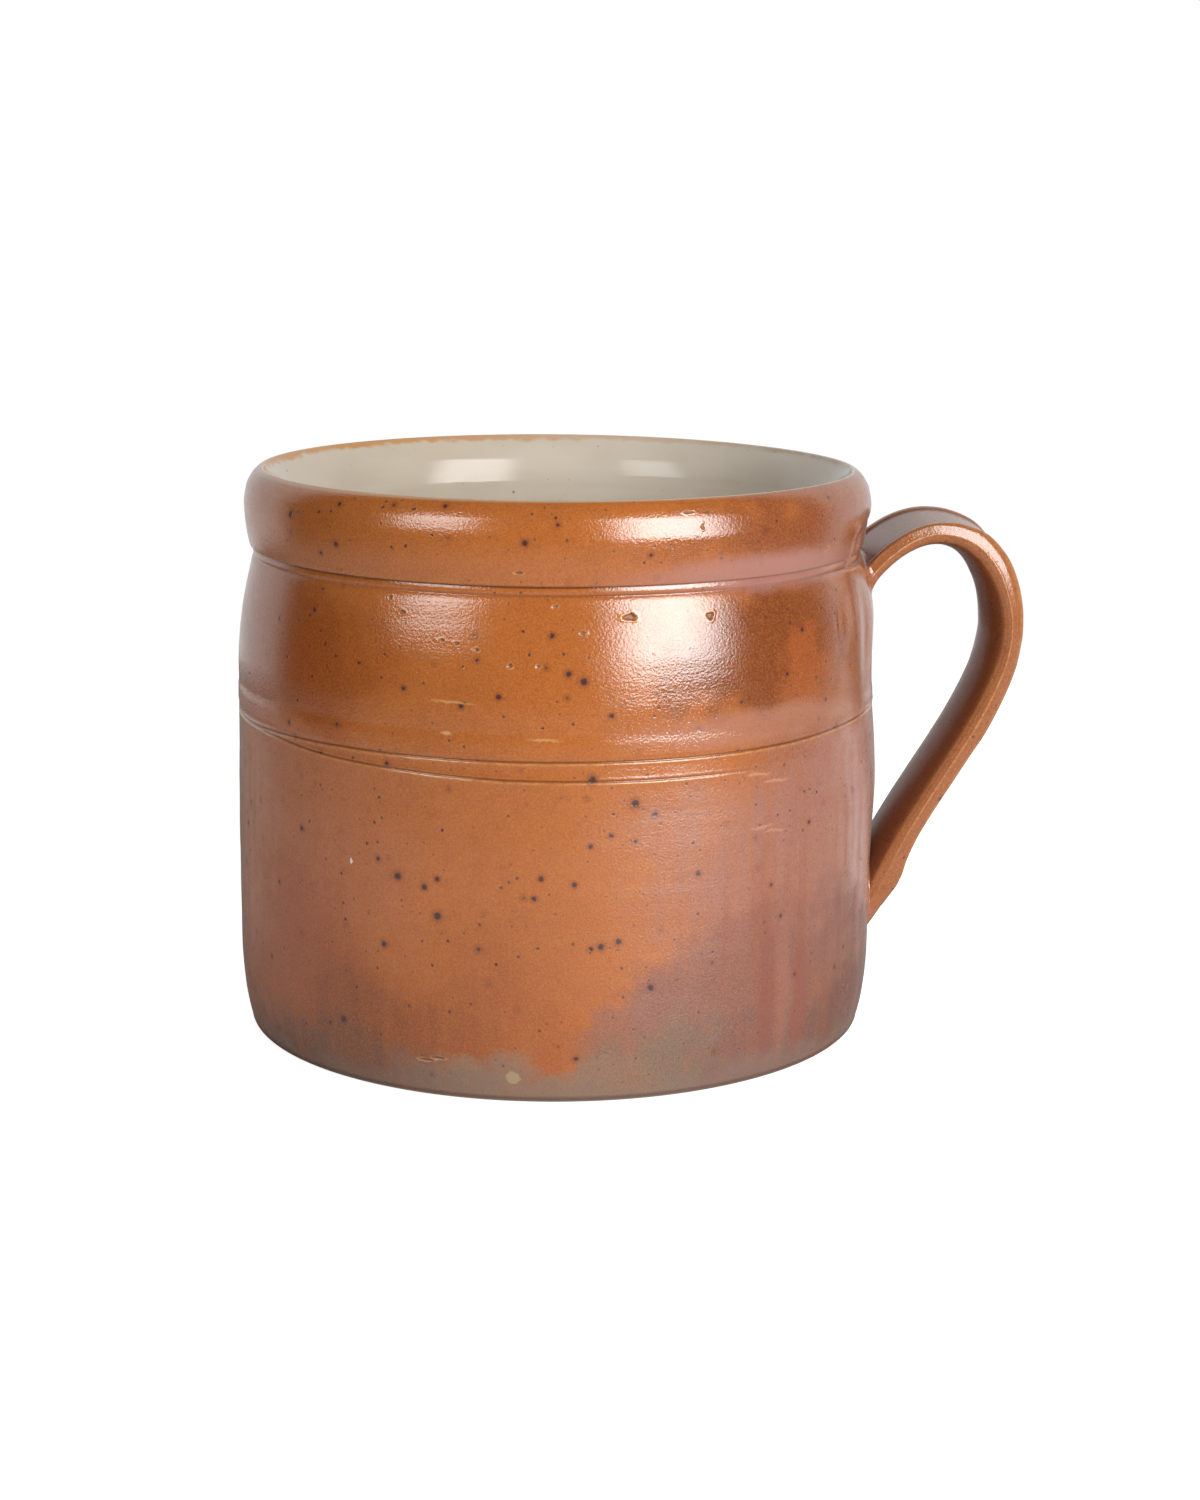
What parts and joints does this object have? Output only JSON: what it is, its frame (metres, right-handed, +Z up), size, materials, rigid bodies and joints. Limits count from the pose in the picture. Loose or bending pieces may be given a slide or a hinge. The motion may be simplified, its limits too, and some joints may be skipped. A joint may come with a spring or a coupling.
{
  "type": "handled stoneware jar",
  "caption": "Wheel-thrown stoneware crock with a heavy rounded collar, scored waist lines, a pale glazed inside and a ribbed strap handle.",
  "frame": {"origin": "centre of the flat base, on the throwing axis, in the plane the jar stands on", "axes": "+Z up along the throwing axis, +X from the axis to the handle"},
  "size_m": [0.26, 0.21, 0.183],
  "materials": {
    "stoneware": "glossy orange-brown salt glaze on iron-speckled stoneware",
    "handle_clay": "glossy dark brown salt glaze, broken to orange on the ridges",
    "luting_clay": "glossy brown salt glaze on smeared clay",
    "pale_glaze": "glossy pale grey poured glaze"
  },
  "bodies": {
    "root": {"jar_body": "stoneware", "glaze_lining": "pale_glaze", "handle_strap": "handle_clay", "root_luting_wad": "luting_clay", "tail_luting_wad": "luting_clay"}
  },
  "joints": []
}
